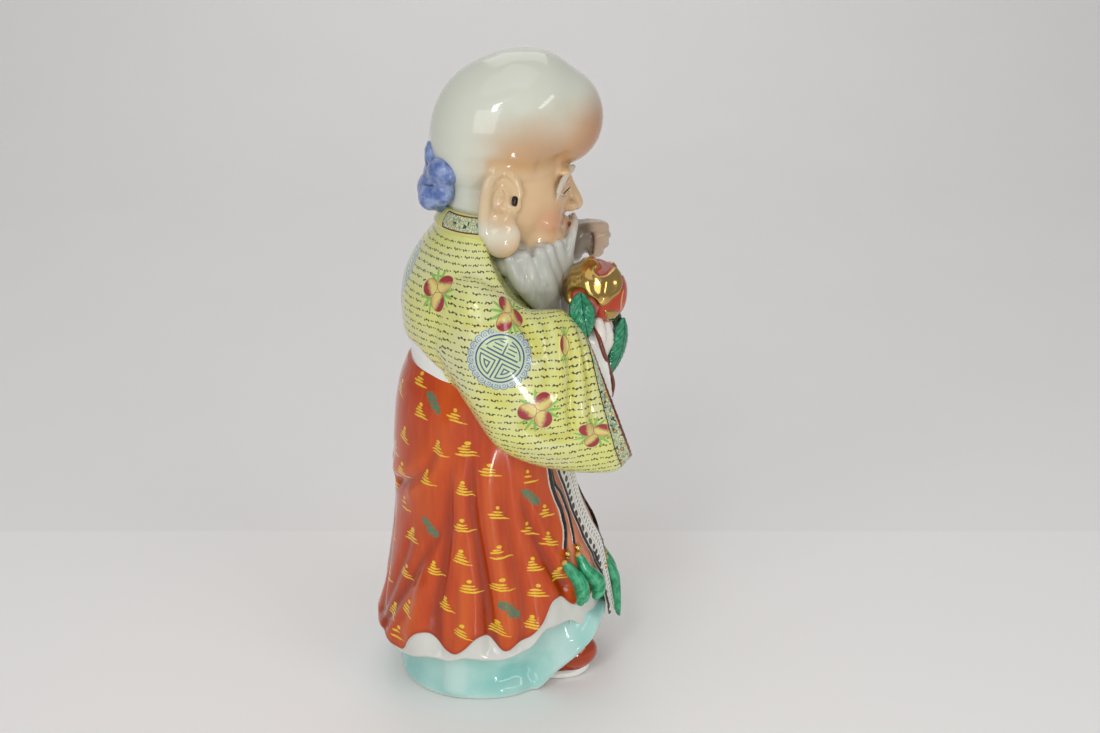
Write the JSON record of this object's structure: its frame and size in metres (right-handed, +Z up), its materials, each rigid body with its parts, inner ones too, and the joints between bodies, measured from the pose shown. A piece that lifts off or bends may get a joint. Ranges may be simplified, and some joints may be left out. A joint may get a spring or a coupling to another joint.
{
  "type": "figurine",
  "caption": "Standing glazed porcelain longevity deity with a tall domed head, long beard, wide-sleeved coat and flared skirt, holding a peach; stands on its flat foot.",
  "frame": {"origin": "on the table plane under the figure, at the middle of its left-to-right width and near the middle of its foot", "axes": "+Z up along the standing figure, -Y the way the figure faces, +X towards the figure's left hand"},
  "size_m": [0.1569, 0.1512, 0.3795],
  "materials": {
    "porcelain": "glossy clear glaze over overglaze enamels and gilding"
  },
  "bodies": {
    "root": {"figurine": "porcelain"}
  },
  "joints": []
}
